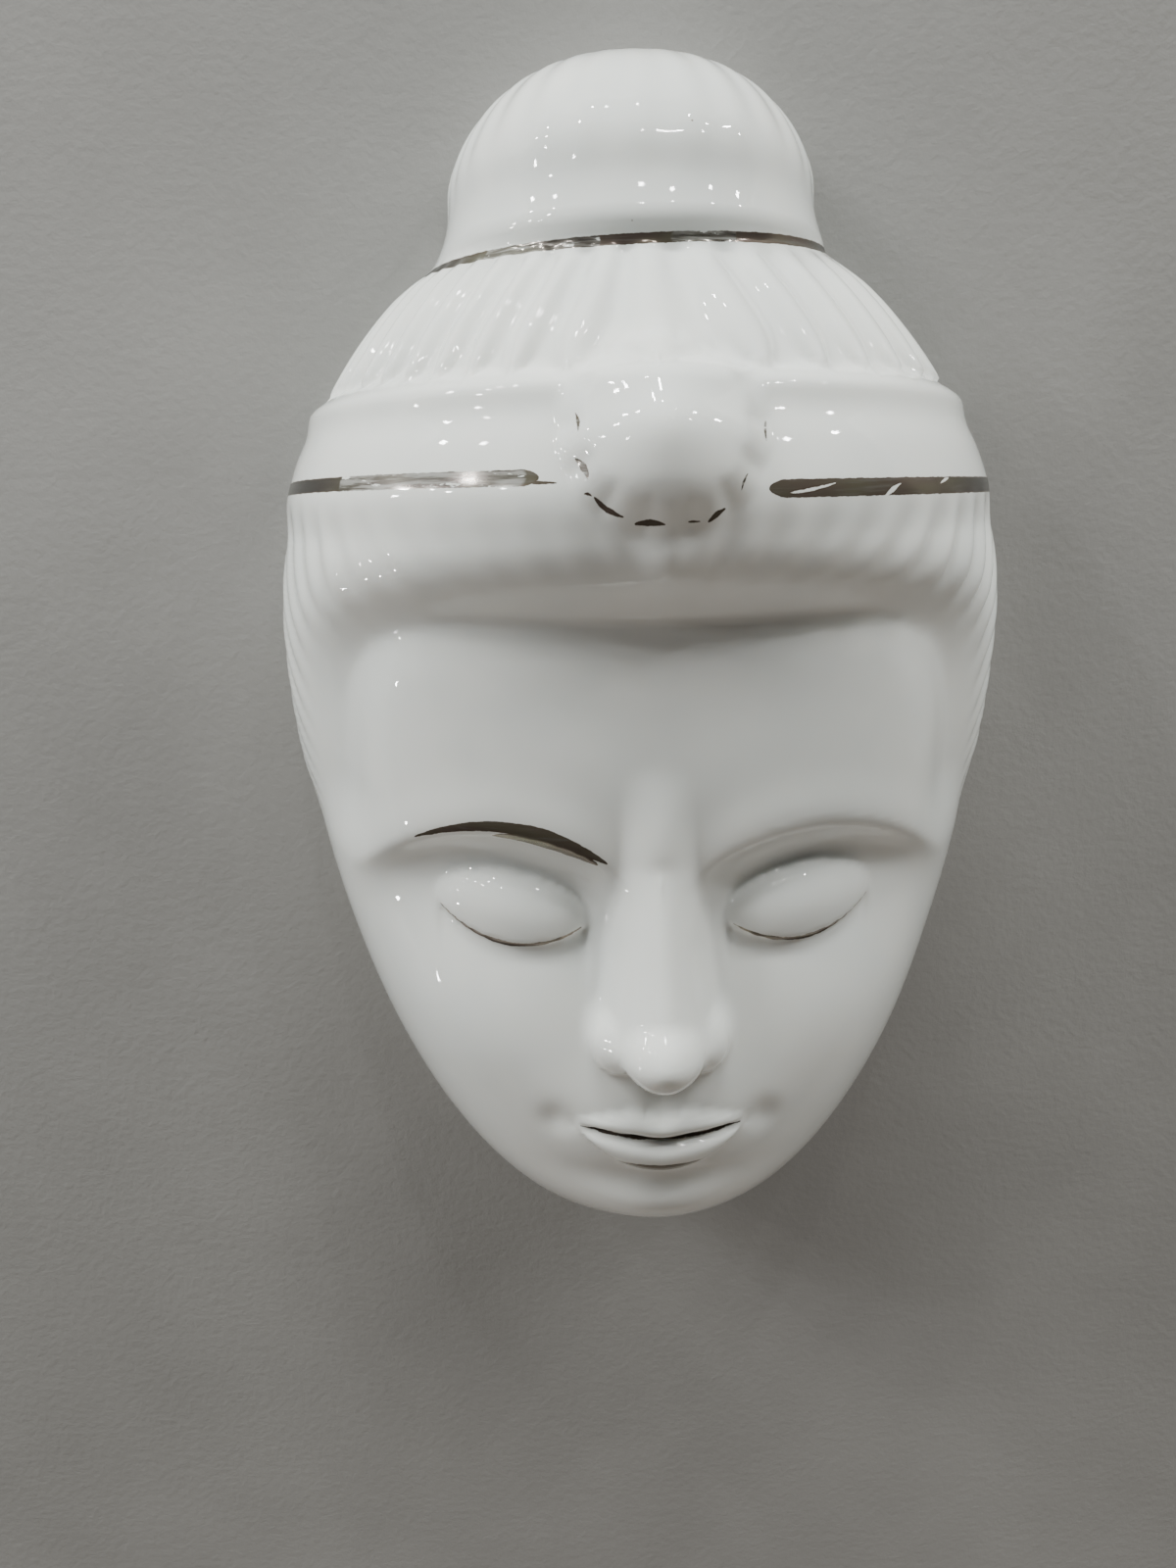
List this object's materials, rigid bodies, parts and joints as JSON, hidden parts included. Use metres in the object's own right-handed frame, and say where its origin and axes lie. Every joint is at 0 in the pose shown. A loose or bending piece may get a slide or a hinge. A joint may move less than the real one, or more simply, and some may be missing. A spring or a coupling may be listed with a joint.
{
  "type": "ceramic buddha mask",
  "caption": "White porcelain wall mask of a serene Buddha head, a hollow shell open at its flat back, with painted silver lines.",
  "frame": {"origin": "middle of the flat back, on the plane of the back rim", "axes": "+Z out of the face, +Y towards the crown, +X across the face to the right as it is looked at"},
  "size_m": [0.0907, 0.144, 0.0582],
  "materials": {
    "white_glaze": "glossy clear glaze over white porcelain, with thin painted lines of silvery platinum lustre"
  },
  "bodies": {
    "root": {"mask_shell": "white_glaze"}
  },
  "joints": []
}
